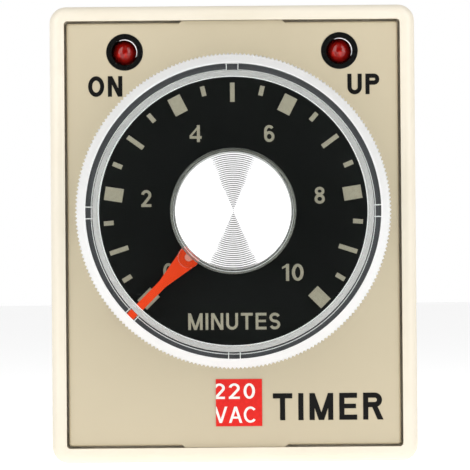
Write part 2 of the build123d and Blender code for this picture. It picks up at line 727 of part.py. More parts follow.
for name, side in (("lamp_collar_on", -1), ("lamp_collar_up", 1)):
    with BuildPart() as lamp_collar:
        with BuildSketch(facing_front(panel_back_f - 0.8, side * lamp_x, lamp_z)):
            Circle(collar_flange_radius)
        extrude(amount=0.8)
        with BuildSketch(facing_front(panel_back_f, side * lamp_x, lamp_z)):
            Circle(collar_radius)
        extrude(amount=panel_thickness + 0.06)
        fillet(lamp_collar.faces().sort_by(Axis.Y)[0].edges(), 0.05)
        with BuildSketch(facing_front(panel_back_f - 0.8, side * lamp_x, lamp_z)):
            Circle(collar_bore_radius)
        extrude(amount=panel_thickness + 1.0, mode=Mode.SUBTRACT)
        chamfer(lamp_collar.faces().sort_by(Axis.Y)[0].edges().sort_by(SortBy.RADIUS)[0], 0.1)
    save(lamp_collar.part, name)

lamp_tip_f, lamp_base_f = panel_front_f - 0.25, panel_front_f - 5.4
for name, side in (("lamp_on", -1), ("lamp_up", 1)):
    with BuildPart() as lamp:
        with BuildSketch(facing_front(lamp_base_f, side * lamp_x, lamp_z)):
            Circle(lamp_radius + 0.25)
        extrude(amount=0.9)
        with BuildSketch(facing_front(lamp_base_f, side * lamp_x, lamp_z)):
            Circle(lamp_radius)
        extrude(amount=lamp_tip_f - lamp_base_f)
        fillet(lamp.faces().sort_by(Axis.Y)[0].edges(), lamp_radius - 0.02)
    save(lamp.part, name)

with BuildPart() as lamp_lead_wires:
    with BuildSketch(facing_front(front_board_f - 1.0)):
        with Locations(*lamp_leads):
            Rectangle(0.5, 0.5)
    extrude(amount=lamp_base_f - front_board_f + 1.0)
save(lamp_lead_wires.part, "lamp_lead_wires")

# --- leads from the plug to the main board ------------------------------------------------------------
lead_radius, lead_start_f, lead_bend_radius = 0.5, plug_floor + 0.7, 1.0

with BuildPart() as plug_leads:
    for number in range(pin_count):
        angle = (number + 0.5) * 2 * pi / pin_count
        start_x, start_z = pin_circle_radius * cos(angle), pin_circle_radius * sin(angle)
        # the leads of the far pins land further forward, and further from the middle of the board
        far = start_x > 0
        end_f = 11.2 if far else 9.6
        end_z = start_z + (1.1 if far == (start_z > 0) else -1.1)
        with BuildLine():
            FilletPolyline(
                (start_x, -lead_start_f, start_z),
                (start_x, -end_f, start_z),
                (board_face_x + 0.15, -end_f, end_z),
                radius=lead_bend_radius,
            )
        with BuildSketch(facing_front(lead_start_f, start_x, start_z)):
            Circle(lead_radius)
        sweep()
save(plug_leads.part, "plug_leads")
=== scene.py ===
from math import cos, pi, radians, sin, tan

import bmesh
import bpy
from mathutils import Matrix, Vector


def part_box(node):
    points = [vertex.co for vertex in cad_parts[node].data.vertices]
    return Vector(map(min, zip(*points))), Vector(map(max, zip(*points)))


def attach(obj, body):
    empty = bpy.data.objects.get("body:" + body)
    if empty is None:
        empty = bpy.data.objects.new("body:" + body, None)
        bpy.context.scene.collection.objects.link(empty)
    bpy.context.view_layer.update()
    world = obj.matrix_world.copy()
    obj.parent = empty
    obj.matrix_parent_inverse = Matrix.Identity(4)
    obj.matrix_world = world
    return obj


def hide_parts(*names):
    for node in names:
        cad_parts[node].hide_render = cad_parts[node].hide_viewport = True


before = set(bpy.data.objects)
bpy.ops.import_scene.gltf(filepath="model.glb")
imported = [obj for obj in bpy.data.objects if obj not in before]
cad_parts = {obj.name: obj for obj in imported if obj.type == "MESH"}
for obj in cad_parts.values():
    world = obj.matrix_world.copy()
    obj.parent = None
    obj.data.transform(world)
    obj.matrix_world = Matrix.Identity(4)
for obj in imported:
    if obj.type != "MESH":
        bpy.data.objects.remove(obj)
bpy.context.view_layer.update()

# A plug-in dial timer: cream moulded case, clear knurled knob over a black scale, and an octal plug behind.
# Sizes are in millimetres and are turned to metres where a mesh is made. X is to the right, Z is up, and the
# timer faces -Y.

mm = 0.001


# --- places read from the frame ------------------------------------------------------------------------
def box_mm(node_name):
    """The node's lowest and highest corners, in millimetres."""
    return [Vector(corner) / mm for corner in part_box(node_name)]


case_low, case_high = box_mm("case_shell")
rim_y = case_low.y
panel_y = box_mm("front_panel")[0].y
dial_low, dial_high = box_mm("dial_disc")
dial_y, dial_z = dial_low.y, (dial_low.z + dial_high.z) / 2
knob_low, knob_high = box_mm("dial_knob")
knob_front_y, knob_back_y, knob_radius = knob_low.y, knob_high.y, (knob_high.x - knob_low.x) / 2
cap_low, cap_high = box_mm("knob_cap")
cap_radius, cap_thickness = (cap_high.x - cap_low.x) / 2, cap_high.y - cap_low.y
pointer_low, pointer_high = box_mm("pointer")
label_low, label_high = box_mm("voltage_label")


# --- materials -----------------------------------------------------------------------------------------
def linear(hex_code):
    """Turns an sRGB hex colour into the linear colour that a socket takes."""
    channels = [int(hex_code[start:start + 2], 16) / 255 for start in (0, 2, 4)]
    return [c / 12.92 if c <= 0.04045 else ((c + 0.055) / 1.055) ** 2.4 for c in channels] + [1.0]


def add(tree, kind, inputs=None, **settings):
    """Adds a shader node. settings are its attributes. inputs are its sockets' values or what feeds them."""
    new = tree.nodes.new("ShaderNode" + kind)
    for name, value in settings.items():
        setattr(new, name, value)
    for name, value in (inputs or {}).items():
        if isinstance(value, bpy.types.NodeSocket):
            tree.links.new(value, new.inputs[name])
        else:
            new.inputs[name].default_value = value
    return new


def start_material(name, **constants):
    """An empty material with a Principled shader. constants are values set straight on its sockets."""
    made = bpy.data.materials.new(name)
    made.use_nodes = True
    tree = made.node_tree
    tree.nodes.clear()
    sockets = {key.replace("_", " ").title().replace("Ior", "IOR"): value for key, value in constants.items()}
    shader = add(tree, "BsdfPrincipled", sockets)
    add(tree, "OutputMaterial", {"Surface": shader.outputs["BSDF"]})
    place = add(tree, "TexCoord").outputs["Object"]
    return made, tree, shader, place


noise_low, noise_high = 0.3, 0.7  # nearly all of a noise's values lie between these
noise_span = {"From Min": noise_low, "From Max": noise_high}


def mottled(tree, place, size, shade, colour, **settings):
    """A colour that drifts from a shade to a lighter one, in patches of this size in millimetres."""
    patches = add(tree, "TexNoise", {"Vector": place, "Scale": 1 / (size * mm), **settings})
    tint = add(tree, "ValToRGB", {"Fac": patches.outputs["Fac"]})
    low, high = tint.color_ramp.elements
    low.position, low.color = noise_low, linear(shade)
    high.position, high.color = noise_high, linear(colour)
    return tint.outputs["Color"]


def feed(tree, shader, sources):
    """Links outputs to the shader's sockets, by the sockets' names."""
    for socket, source in sources.items():
        tree.links.new(source, shader.inputs[socket])


def moulded(name, colour, shade, roughness, grain=0.35, grain_depth=0.002, flow=9.0, **constants):
    """Injection-moulded plastic: a fine spark-eroded grain, faint flow marks and an uneven gloss.

    grain is the size of the grain and flow the size of the flow marks, in millimetres.
    """
    made, tree, shader, place = start_material(name, **constants)
    colours = mottled(tree, place, flow, shade, colour, Detail=3.0, Roughness=0.55)
    skin = add(tree, "TexNoise", {"Vector": place, "Scale": 1 / (grain * mm), "Detail": 2.0})
    gloss = add(tree, "MapRange", {"Value": skin.outputs["Fac"], **noise_span,
                                   "To Min": roughness * 0.85, "To Max": roughness * 1.15})
    relief = add(tree, "Bump", {"Height": skin.outputs["Fac"], "Distance": grain_depth * mm, "Strength": 1.0})
    feed(tree, shader, {"Base Color": colours, "Roughness": gloss.outputs["Result"],
                        "Normal": relief.outputs["Normal"]})
    return made


plating_cloud, drawn_depth = 2.5, 0.002  # millimetres: the plating's cloudy patches, and its drawing lines


def plated(name, colour, shade, roughness, drawn=0.25, axis_scale=(1, 0.06, 1)):
    """Plated or rolled metal: fine drawing lines along the piece and a slightly cloudy plating."""
    made, tree, shader, place = start_material(name, metallic=1.0)
    stretched = add(tree, "Mapping", {"Vector": place, "Scale": axis_scale})
    lines = add(tree, "TexNoise", {"Vector": stretched.outputs["Vector"], "Scale": 1 / (drawn * mm),
                                   "Detail": 3.0})
    colours = mottled(tree, place, plating_cloud, shade, colour, Detail=2.0)
    gloss = add(tree, "MapRange", {"Value": lines.outputs["Fac"], **noise_span,
                                   "To Min": roughness * 0.75, "To Max": roughness * 1.3})
    relief = add(tree, "Bump", {"Height": lines.outputs["Fac"], "Distance": drawn_depth * mm,
                                "Strength": 1.0})
    feed(tree, shader, {"Base Color": colours, "Roughness": gloss.outputs["Result"],
                        "Normal": relief.outputs["Normal"]})
    return made


def let_light_through(tree, shader, passing):
    """Lets lamps and soft light pass straight through a clear shader, so that what lies below is lit."""
    ray = add(tree, "LightPath")
    surface = shader.outputs["BSDF"]
    for kind in ("Is Diffuse Ray", "Is Shadow Ray"):
        mix = add(tree, "MixShader", {0: ray.outputs[kind], 1: surface, 2: passing.outputs["BSDF"]})
        surface = mix.outputs[0]
    output = next(n for n in tree.nodes if n.type == "OUTPUT_MATERIAL")
    tree.links.new(surface, output.inputs["Surface"])


def clear_acrylic():
    """Polished acrylic. It is almost colourless, and it lets lamps through to the dial below."""
    made, tree, shader, place = start_material(
        "clear_acrylic", base_color=linear("fbfdfc"), roughness=0.0, ior=1.49, transmission_weight=1.0)
    ripple = add(tree, "TexNoise", {"Vector": place, "Scale": 1 / (4.0 * mm), "Detail": 1.0})
    relief = add(tree, "Bump", {"Height": ripple.outputs["Fac"], "Distance": 0.004 * mm, "Strength": 0.5})
    feed(tree, shader, {"Normal": relief.outputs["Normal"]})
    let_light_through(tree, shader, add(tree, "BsdfTransparent", {"Color": linear("fbfcfb")}))
    return made


def knurled_acrylic():
    """The same acrylic where the mould's knurl breaks up the light: the band looks milky white. The white is
    partly painted highlight: a diffuse white that stands in for the light the clear teeth reflect and
    refract.
    """
    # painted highlight in part: the white base colour and the diffuse half stand in for what the clear teeth
    # reflect and refract
    made, tree, shader, place = start_material(
        "knurled_acrylic", base_color=linear("ffffff"), ior=1.49, transmission_weight=0.5)
    haze = add(tree, "TexNoise", {"Vector": place, "Scale": 1 / (0.5 * mm), "Detail": 3.0})
    gloss = add(tree, "MapRange", {"Value": haze.outputs["Fac"], **noise_span, "To Min": 0.3, "To Max": 0.5})
    feed(tree, shader, {"Roughness": gloss.outputs["Result"]})
    let_light_through(tree, shader, add(tree, "BsdfTransparent", {"Color": linear("f4f4f4")}))
    return made


def tinted_epoxy():
    """A lamp's red epoxy: half clear and half milky, so its legs show inside as pale shapes."""
    made, tree, shader, place = start_material(
        "tinted_epoxy", roughness=0.06, ior=1.5, transmission_weight=0.6)
    feed(tree, shader, {"Base Color": mottled(tree, place, 0.8, "d01510", "e02a20", Detail=2.0)})
    let_light_through(tree, shader, add(tree, "BsdfTransparent", {"Color": linear("e08070")}))
    return made


def turned_aluminium():
    """Aluminium faced on a lathe: the tool leaves concentric rings, so highlights open into a bow tie."""
    made, tree, shader, place = start_material(
        "turned_aluminium", base_color=linear("f0f0f1"), metallic=1.0)
    wear = add(tree, "TexNoise", {"Vector": place, "Scale": 1 / (1.5 * mm), "Detail": 4.0})
    gloss = add(tree, "MapRange", {"Value": wear.outputs["Fac"], **noise_span, "To Min": 0.1, "To Max": 0.2})
    feed(tree, shader, {"Roughness": gloss.outputs["Result"]})
    return made


def printed_ink(name, colour, roughness=0.5):
    """Screen-printed ink: flat colour that is a little thin and uneven where the screen's mesh laid it."""
    made, tree, shader, place = start_material(name, roughness=roughness, specular_ior_level=0.15)
    body = add(tree, "TexNoise", {"Vector": place, "Scale": 1 / (0.3 * mm), "Detail": 2.0})
    shade = add(tree, "MapRange", {"Value": body.outputs["Fac"], **noise_span,
                                   "To Min": 0.93, "To Max": 1.05})
    tint = add(tree, "HueSaturation", {"Color": linear(colour), "Value": shade.outputs["Result"]})
    feed(tree, shader, {"Base Color": tint.outputs["Color"]})
    return made


cream_abs = moulded("cream_abs", "ede5d4", "eae1ce", 0.38)
beige_abs = moulded("beige_abs", "cbbfa4", "c8bca1", 0.34, flow=14.0)
black_phenolic = moulded("black_phenolic", "1d1b1a", "181716", 0.28, grain=0.6)
black_collar = moulded("black_collar", "0e0f0e", "0a0b0a", 0.3, specular_ior_level=0.2)
dial_print = moulded("dial_print", "121413", "101211", 0.4, grain=0.2, grain_depth=0.001,
                     specular_ior_level=0.08)
orange_acrylic = moulded("orange_acrylic", "ff4a1a", "fb4516", 0.35, flow=3.0, specular_ior_level=0.2)
# the cloudy colour of the stake's melted head, and also the colour of the painted highlight ring round the
# stake's foot
frosted_acrylic_and_highlight = moulded("frosted_acrylic_and_highlight", "ffaa9c", "ffa292", 0.5, flow=1.0)
# painted highlight colour: the pale white of the knob's notch strips and edge rings
painted_highlight_white = moulded("painted_highlight_white", "f8f8f8", "f2f2f2", 0.5, flow=1.0)
# the pale colour of the lamps' leg cups, and also the colour of the lamps' painted highlight crescents
lamp_reflector_and_glint = moulded("lamp_reflector_and_glint", "f6f2f2", "efeaea", 0.4, flow=1.0)
white_nylon = moulded("white_nylon", "e6e3da", "dedacf", 0.45)
smoked_cover = moulded("smoked_cover", "3a3c40", "33353a", 0.2)
blue_nylon = moulded("blue_nylon", "2c56a8", "274d98", 0.45)
yellow_epoxy = moulded("yellow_epoxy", "d8a52a", "cc9a24", 0.35)
black_sleeve = moulded("black_sleeve", "24262c", "1f2126", 0.35)
black_epoxy = moulded("black_epoxy", "1d1d1e", "171718", 0.55)
tan_lacquer = moulded("tan_lacquer", "c9ad7c", "bfa272", 0.4, flow=2.0)
brown_laminate = moulded("brown_laminate", "6b4a2c", "5f4126", 0.5, flow=3.0)
green_laminate = moulded("green_laminate", "2f5a3a", "295233", 0.35, flow=4.0)
white_insulation = moulded("white_insulation", "dedbd2", "d4d0c6", 0.45)
nickel_plate = plated("nickel_plate", "d6d2c6", "c8c3b5", 0.22)
zinc_plate = plated("zinc_plate", "c9cbcc", "b7babd", 0.32)
tinned_steel = plated("tinned_steel", "cdcdcb", "bdbdbb", 0.35)
soft_iron = plated("soft_iron", "a9a9a7", "98989a", 0.42)
spring_brass = plated("spring_brass", "d2ad5a", "c39d4b", 0.3)
enamelled_copper = plated("enamelled_copper", "b8693a", "a85c30", 0.35, drawn=0.12, axis_scale=(1, 1, 1))
silver_film = plated("silver_film", "d4d5d3", "c9cac8", 0.42, drawn=0.3)
acrylic = clear_acrylic()
knurl_acrylic = knurled_acrylic()
red_epoxy = tinted_epoxy()
aluminium = turned_aluminium()
pale_ink = printed_ink("pale_ink", "aca693")
grey_ink = printed_ink("grey_ink", "4c4d50", 0.45)
black_ink = printed_ink("black_ink", "100f0e", 0.4)
white_ink = printed_ink("white_ink", "f4f2ee")
red_ink = printed_ink("red_ink", "e02b25", 0.35)

finishes = {
    cream_abs: ("case_shell",),
    beige_abs: ("front_panel",),
    dial_print: ("dial_disc",),
    red_ink: ("voltage_label",),
    silver_film: ("side_label_left", "side_label_right"),
    acrylic: ("dial_knob",),
    aluminium: ("knob_cap",),
    orange_acrylic: ("pointer",),
    black_collar: ("lamp_collar_on", "lamp_collar_up"),
    red_epoxy: ("lamp_on", "lamp_up"),
    black_phenolic: ("octal_base",),
    nickel_plate: tuple(f"plug_pin_{number}" for number in range(1, 9)),
    zinc_plate: ("base_screw_upper", "base_screw_lower", "pot_can", "pot_bush", "pot_washer", "pot_nut"),
    tinned_steel: ("pot_terminals", "relay_pins", "chip_legs", "lamp_lead_wires"),
    soft_iron: ("relay_yoke", "relay_core", "relay_armature"),
    spring_brass: ("pot_wiper", "relay_blade", "relay_closed_contact", "relay_open_contact"),
    enamelled_copper: ("relay_coil",),
    white_nylon: ("pot_shaft", "relay_bobbin", "trimmer_rotor"),
    smoked_cover: ("relay_cover",),
    blue_nylon: ("trimmer_body",),
    yellow_epoxy: ("film_capacitor", "timing_capacitor"),
    black_sleeve: ("smoothing_capacitor",),
    black_epoxy: ("relay_base", "board_header", "timer_chip", "rectifier_diodes"),
    tan_lacquer: ("resistors",),
    brown_laminate: ("pot_wafer",),
    green_laminate: ("main_board", "front_board"),
    white_insulation: ("plug_leads",),
}
for finish, node_names in finishes.items():
    for node_name in node_names:
        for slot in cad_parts[node_name].material_slots:
            slot.material = finish


# --- mesh helpers --------------------------------------------------------------------------------------
def new_piece(name, mesh_data, finish, body):
    """Links a mesh as a named piece that rides on a body."""
    piece = bpy.data.objects.new(name, mesh_data)
    bpy.context.scene.collection.objects.link(piece)
    mesh_data.materials.append(finish)
    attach(piece, body)
    return piece


def smooth(mesh_data, sharp_degrees=30):
    """Shades a mesh smooth, with sharp edges where it turns by more than this angle."""
    mesh_data.polygons.foreach_set("use_smooth", [True] * len(mesh_data.polygons))
    mesh_data.set_sharp_from_angle(angle=radians(sharp_degrees))


edge_hold = 0.015  # a narrow strip beside each rounding keeps the flat next to it shaded flat


def rounded(corners, steps=5):
    """Rounds a profile's corners. Each corner is (radius from the axis, y, rounding). The ends stay sharp."""
    points = []
    for index, (r, y, rounding) in enumerate(corners):
        here = Vector((r, y))
        if not rounding:
            points.append(here)
            continue
        before = (Vector(corners[index - 1][:2]) - here).normalized()
        after = (Vector(corners[index + 1][:2]) - here).normalized()
        half_turn = before.angle(after) / 2
        centre = here + (before + after).normalized() * rounding / sin(half_turn)
        start = here + before * rounding / tan(half_turn)
        end = here + after * rounding / tan(half_turn)
        points.append(start + before * edge_hold)
        for step in range(steps + 1):
            outward = (start - centre).normalized().slerp((end - centre).normalized(), step / steps)
            points.append(centre + outward * rounding)
        points.append(end + after * edge_hold)
    return points


def turned(name, profile, steps, place=None, centre=(0.0, dial_z), closed=False):
    """Turns a profile about the axis through centre. place(radius, step) may move a point, as a knurl does.

    A closed profile runs round its own section and makes a ring. An open one starts and ends on the axis.
    """
    x, z = centre
    shape = bmesh.new()
    rings = []
    for r, y in profile:
        if r == 0:
            rings.append([shape.verts.new((x * mm, y * mm, z * mm))])
            continue
        ring = []
        for step in range(steps):
            turn = 2 * pi * step / steps
            radius = place(r, step) if place else r
            spot = Vector((x + radius * cos(turn), y, z + radius * sin(turn)))
            ring.append(shape.verts.new(spot * mm))
        rings.append(ring)
    pairs = list(zip(rings, rings[1:])) + ([(rings[-1], rings[0])] if closed else [])
    for one, two in pairs:
        for step in range(steps):
            nxt = (step + 1) % steps
            if len(one) == 1:
                shape.faces.new((one[0], two[step], two[nxt]))
            elif len(two) == 1:
                shape.faces.new((one[step], two[0], one[nxt]))
            else:
                shape.faces.new((one[step], two[step], two[nxt], one[nxt]))
    bmesh.ops.recalc_face_normals(shape, faces=shape.faces)
    mesh_data = bpy.data.meshes.new(name)
    shape.to_mesh(mesh_data)
    shape.free()
    return mesh_data


def bar(length, width, depth, centre, turn=0.0):
    """A bar: length along the radius, width across it and depth along y, turned about the dial's axis."""
    shape = bmesh.new()
    bmesh.ops.create_cube(shape, size=1.0)
    size = Matrix.Diagonal((length, depth, width, 1.0))
    spin = Matrix.Rotation(-turn, 4, "Y")
    shift = Matrix.Translation(centre)
    lift = Matrix.Translation((0, 0, dial_z))
    shape.transform(Matrix.Scale(mm, 4) @ lift @ spin @ shift @ size)
    mesh_data = bpy.data.meshes.new("bar")
    shape.to_mesh(mesh_data)
    shape.free()
    return mesh_data


def joined(meshes, name):
    """One mesh made of several."""
    shape = bmesh.new()
    for mesh_data in meshes:
        shape.from_mesh(mesh_data)
    out = bpy.data.meshes.new(name)
    shape.to_mesh(out)
    shape.free()
    return out


def carved(mesh_data, tool, operation):
    """The mesh after an exact union, difference or intersection with a tool mesh."""
    base = bpy.data.objects.new("base", mesh_data)
    cutter = bpy.data.objects.new("cutter", tool)
    for item in (base, cutter):
        bpy.context.scene.collection.objects.link(item)
    step = base.modifiers.new("carve", "BOOLEAN")
    step.operation, step.solver, step.object, step.use_self = operation, "EXACT", cutter, True
    graph = bpy.context.evaluated_depsgraph_get()
    out = bpy.data.meshes.new_from_object(base.evaluated_get(graph))
    for item in (base, cutter):
        bpy.data.objects.remove(item)
    return out


# --- lettering -----------------------------------------------------------------------------------------
# Plain legends with strokes of one thickness. A glyph is drawn in a cell one unit high and w wide, and its
# strokes are t thick. Each stroke is a strip between a left and a right edge.
def line_strip(points, t, closed=False):
    """A strip of thickness t along a run of points, mitred at its turns."""
    points = [Vector(p) for p in points]
    count = len(points)
    left, right = [], []
    for index, here in enumerate(points):
        before = points[index - 1] if closed or index else None
        after = points[(index + 1) % count] if closed or index < count - 1 else None
        inward = (here - before).normalized() if before is not None else None
        outward = (after - here).normalized() if after is not None else None
        along = (inward + outward).normalized() if inward and outward else inward or outward
        stretch = 1 / max(0.4, along.dot(inward or outward))
        side = Vector((-along.y, along.x)) * t / 2 * stretch
        left.append(here + side)
        right.append(here - side)
    return left, right, closed


def bow(cx, cy, rx, ry, start, end, steps=18):
    """Points along an ellipse's arc, with angles in degrees."""
    turns = [radians(start + (end - start) * step / steps) for step in range(steps + 1)]
    return [(cx + rx * cos(turn), cy + ry * sin(turn)) for turn in turns]


def ring_strip(cx, cy, rx, ry, t):
    """A closed elliptical ring with its centre line at rx and ry."""
    return line_strip(bow(cx, cy, rx, ry, 0, 360, 40)[:-1], t, closed=True)


def slab(a, b, c, d):
    """One straight-sided stroke given by its four corners: a and b on the left, d and c on the right."""
    return [Vector(a), Vector(b)], [Vector(d), Vector(c)], False


def upright(x, t, low=0.0, high=1.0):
    return slab((x, low), (x, high), (x + t, high), (x + t, low))


def level(y, t, low, high):
    return slab((low, y), (low, y + t), (high, y + t), (high, y))


def glyph(letter, t):
    """The strokes of one character and the width of its cell."""
    h = t / 2
    if letter == "0":
        w = 0.6
        return [ring_strip(w / 2, 0.5, w / 2 - h, 0.5 - h, t)], w
    if letter == "1":
        w = 0.36
        return [upright(w - t, t), slab((0, 0.7), (0, 0.82), (w - t * 0.6, 0.995), (w - t * 0.6, 0.84))], w
    if letter == "2":
        w = 0.58
        top = bow(w / 2, 0.7, w / 2 - h, 0.3 - h, 172, -38)
        return [line_strip(top + [(h + 0.02, t * 0.6)], t), level(0, t, 0.0, w)], w
    if letter == "4":
        w, stem = 0.66, 0.4
        return [upright(stem, t), level(0.2, t * 0.95, 0.0, w),
                slab((0, 0.2), (0, 0.22 + t), (stem + t * 0.55, 1.0), (stem + t * 0.3, 0.78))], w
    if letter == "6":
        w = 0.6
        hook = bow(w / 2, 0.66, w / 2 - h, 0.34 - h, 35, 180) + [(h, 0.32)]
        return [line_strip(hook, t), ring_strip(w / 2, 0.32, w / 2 - h, 0.32 - h, t)], w
    if letter == "8":
        w = 0.6
        return [ring_strip(w / 2, 0.745, w / 2 - h - 0.02, 0.255 - h, t),
                ring_strip(w / 2, 0.285, w / 2 - h, 0.285 - h, t)], w
    if letter == "A":
        w, s = 0.78, t * 1.08
        return [slab((0, 0), (w / 2 - s / 2, 1), (w / 2 + s / 2, 1), (s, 0)),
                slab((w - s, 0), (w / 2 - s / 2, 1), (w / 2 + s / 2, 1), (w, 0)),
                level(0.26, t * 0.9, w * 0.2, w * 0.8)], w
    if letter == "C":
        w = 0.78
        return [line_strip(bow(w / 2, 0.5, w / 2 - h, 0.5 - h, 42, 318, 30), t)], w
    if letter == "E":
        w = 0.66
        return [upright(0, t), level(1 - t, t, 0, w), level(0.5 - t * 0.4, t * 0.9, 0, w * 0.94),
                level(0, t, 0, w)], w
    if letter == "I":
        return [upright(0, t)], t
    if letter == "M":
        w, s = 0.88, t * 1.02
        return [upright(0, t), upright(w - t, t),
                slab((w / 2 - s / 2, 0), (0, 1), (s, 1), (w / 2 + s / 2, 0)),
                slab((w / 2 - s / 2, 0), (w - s, 1), (w, 1), (w / 2 + s / 2, 0))], w
    if letter == "N":
        w, s = 0.74, t * 1.1
        return [upright(0, t), upright(w - t, t), slab((w - s, 0), (0, 1), (s, 1), (w, 0))], w
    if letter == "O":
        w = 0.82
        return [ring_strip(w / 2, 0.5, w / 2 - h, 0.5 - h, t)], w
    if letter in "PR":
        w, low = 0.7, 0.46
        reach = (1 - low) / 2
        bowl = [(h, 1 - h)] + bow(w - reach, 1 - reach, reach - h, reach - h, 90, -90) + [(h, low + h)]
        strokes = [upright(0, t), line_strip(bowl, t)]
        if letter == "P":
            return strokes, w
        foot = w + 0.05
        leg = slab((w * 0.42, low + h), (w * 0.42 + t * 1.1, low + h), (foot, 0), (foot - t * 1.15, 0))
        return strokes + [leg], foot
    if letter == "S":
        w, middle = 0.66, 0.5
        reach = (0.5 - h) / 2
        top = bow(w / 2, middle + reach, w / 2 - h, reach, 22, 268)
        bottom = bow(w / 2, middle - reach, w / 2 - h, reach, 88, -158)
        return [line_strip(top + bottom, t)], w
    if letter == "T":
        w = 0.72
        return [level(1 - t, t, 0, w), upright(w / 2 - h, t)], w
    if letter == "U":
        w = 0.72
        return [line_strip([(h, 1)] + bow(w / 2, w / 2, w / 2 - h, w / 2 - h, 180, 360) + [(w - h, 1)], t)], w
    w, s = 0.78, t * 1.08  # V
    return [slab((w / 2 - s / 2, 0), (0, 1), (s, 1), (w / 2 + s / 2, 0)),
            slab((w / 2 - s / 2, 0), (w - s, 1), (w, 1), (w / 2 + s / 2, 0))], w


def strip_mesh(strip, place, front, back):
    """A thin solid plate from a strip. place turns a point of the cell into x and z, in millimetres."""
    left, right, closed = strip
    shape = bmesh.new()
    rows = []
    for one, two in zip(left, right):
        row = []
        for point in (one, two):
            x, z = place(point)
            row += [shape.verts.new((x * mm, y * mm, z * mm)) for y in (front, back)]
        rows.append(row)
    pairs = list(zip(rows, rows[1:])) + ([(rows[-1], rows[0])] if closed else [])
    for (a, b, c, d), (e, f, g, i) in pairs:
        for quad in ((a, e, g, c), (b, d, i, f), (a, b, f, e), (c, g, i, d)):
            shape.faces.new(quad)
    if not closed:
        for a, b, c, d in (rows[0], rows[-1]):
            shape.faces.new((a, c, d, b))
    bmesh.ops.recalc_face_normals(shape, faces=shape.faces)
    out = bpy.data.meshes.new("stroke")
    shape.to_mesh(out)
    shape.free()
    return out


def shifted(x, z):
    """Moves a strip's points so that its origin is at x and z."""
    return lambda point: (x + point[0], z + point[1])


def word_mesh(name, text, centre, height, width, weight, gap, surface, ink=0.03):
    """A word as thin raised ink on a surface that faces -Y. centre is (x, z) and gap is between letters."""
    cells = [glyph(letter, weight / height) for letter in text]
    squeeze = (width - gap * (len(text) - 1)) / (sum(w for _, w in cells) * height)
    cursor = centre[0] - width / 2
    letters = []
    for strokes, w in cells:
        def place(point, start=cursor):
            return start + point[0] * height * squeeze, centre[1] + (point[1] - 0.5) * height
        made = strip_mesh(strokes[0], place, surface - ink, surface + 0.01)
        for stroke in strokes[1:]:
            made = carved(made, strip_mesh(stroke, place, surface - ink, surface + 0.01), "UNION")
        letters.append(made)
        cursor += w * height * squeeze + gap
    return joined(letters, name)


# --- dial scale ----------------------------------------------------------------------------------------
scale_start, scale_turn, scale_steps = 225.0, 270.0, 20  # degrees to the 0 mark, and on to the 10 mark
mark_reach, ink_thickness, border_reach, ring_steps = 14.2, 0.03, (15.3, 16.5), 180


def ring_section(inner, outer, front, back):
    """The four corners of a flat ring's section, for turned."""
    return [(inner, front), (outer, front), (outer, back), (inner, back)]


def make_scale_marks():
    """Blocks at the even minutes, bars at the odd ones, short bars at the halves, and a dark grey border."""
    marks = []
    for step in range(scale_steps + 1):
        length, width = ((2.0, 1.48), (1.08, 0.5), (2.1, 0.5), (1.08, 0.5))[step % 4]
        turn = radians(scale_start - scale_turn * step / scale_steps)
        middle = (mark_reach - length / 2, dial_y - ink_thickness / 2, 0)
        marks.append(bar(length, width, ink_thickness, middle, turn))
    new_piece("scale_marks", joined(marks, "scale_marks"), pale_ink, "housing")
    section = ring_section(*border_reach, dial_y - ink_thickness, dial_y)
    border = turned("dial_border", section, ring_steps, closed=True)
    new_piece("dial_border", border, grey_ink, "housing")


# text, centre x and z from the dial's axis, height, width, stroke
dial_legends = (
    ("0", (-7.15, -6.4), 1.85, 1.12, 0.3),
    ("2", (-9.5, 1.6), 1.85, 1.1, 0.3),
    ("4", (-4.05, 8.65), 1.85, 1.32, 0.3),
    ("6", (4.0, 8.6), 1.85, 1.12, 0.3),
    ("8", (9.45, 1.8), 1.85, 1.12, 0.3),
    ("10", (6.45, -6.6), 1.85, 2.35, 0.3),
    ("MINUTES", (0.0, -11.9), 1.82, 10.05, 0.3),
)
panel_legends = (
    ("ON", (-13.92, 13.93), 2.26, 3.75, 0.47),
    ("UP", (14.37, 13.98), 2.26, 3.5, 0.47),
    ("TIMER", (10.2, -21.3), 2.95, 12.1, 0.56),
)


def make_legends():
    """The printed words and numbers."""
    for text, (x, z), height, width, weight in dial_legends:
        gap = 0.32 if len(text) > 2 else 0.3
        mesh_data = word_mesh("legend_" + text, text, (x, dial_z + z), height, width, weight, gap, dial_y)
        new_piece("dial_legend_" + text.lower(), mesh_data, pale_ink, "housing")
    for text, (x, z), height, width, weight in panel_legends:
        gap = 0.66 if len(text) > 2 else 0.4
        mesh_data = word_mesh("legend_" + text, text, (x, dial_z + z), height, width, weight, gap, panel_y)
        new_piece("panel_legend_" + text.lower(), mesh_data, black_ink, "housing")


def make_label_legend():
    """The mains voltage in white on the red label, which was cut a little into the first characters."""
    middle_x, middle_z = (label_low.x + label_high.x) / 2, (label_low.z + label_high.z) / 2
    surface = label_low.y
    upper = word_mesh("upper", "220", (middle_x - 0.49, middle_z + 1.26), 1.7, 4.5, 0.25, 0.42, surface)
    lower = word_mesh("lower", "VAC", (middle_x - 0.38, middle_z - 1.32), 1.78, 4.72, 0.25, 0.16, surface)
    shape = bmesh.new()
    bmesh.ops.create_cube(shape, size=1.0)
    size = label_high - label_low
    shape.transform(Matrix.Scale(mm, 4) @ Matrix.Translation((middle_x, surface, middle_z))
                    @ Matrix.Diagonal((size.x, 1.0, size.z, 1.0)))
    outline = bpy.data.meshes.new("outline")
    shape.to_mesh(outline)
    shape.free()
    legend = carved(joined([upper, lower], "label"), outline, "INTERSECT")
    new_piece("label_legend", legend, white_ink, "housing")


